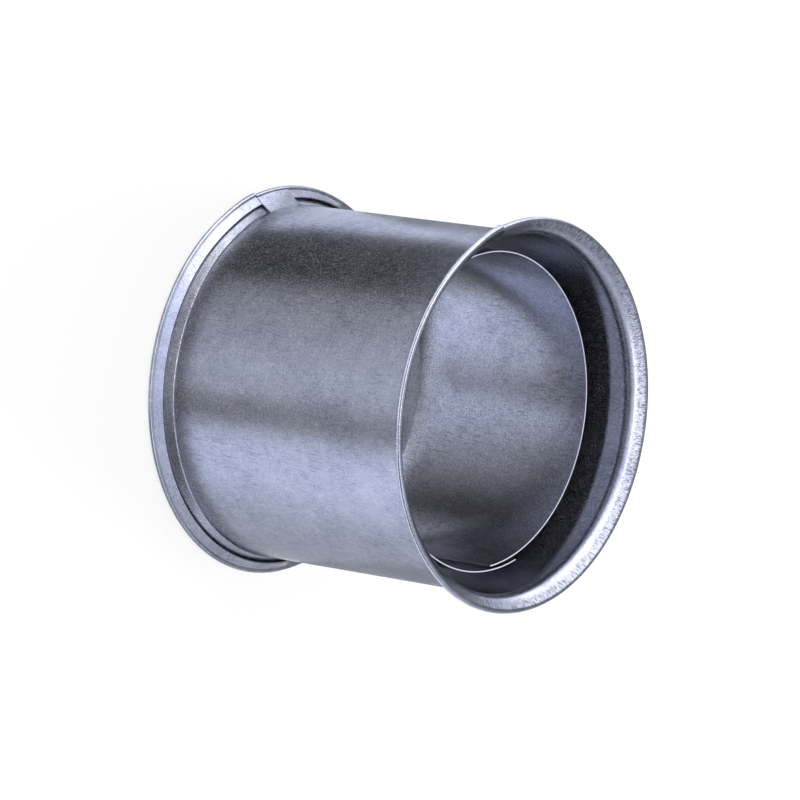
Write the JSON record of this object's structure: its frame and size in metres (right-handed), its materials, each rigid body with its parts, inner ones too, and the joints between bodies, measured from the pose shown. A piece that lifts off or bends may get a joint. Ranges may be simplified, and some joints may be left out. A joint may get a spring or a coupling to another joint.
{
  "type": "double wall flue pipe",
  "caption": "Short double wall flue pipe: a rolled sheet sleeve with a flared, beaded mouth and a hooked rear hem, and inside it a shorter lapped liner that takes a stove pipe.",
  "frame": {"origin": "on the pipe's axis, at the flat underside of the rear hem that it stands on", "axes": "+Z along the pipe's axis, from the rear hem up to the mouth"},
  "size_m": [0.1904, 0.1904, 0.156],
  "materials": {
    "galvanised_sheet": "zinc-coated sheet, fine mottle"
  },
  "bodies": {
    "root": {"outer_sleeve": "galvanised_sheet", "inner_liner": "galvanised_sheet", "spacer_1": "galvanised_sheet", "spacer_2": "galvanised_sheet", "spacer_3": "galvanised_sheet"}
  },
  "joints": []
}
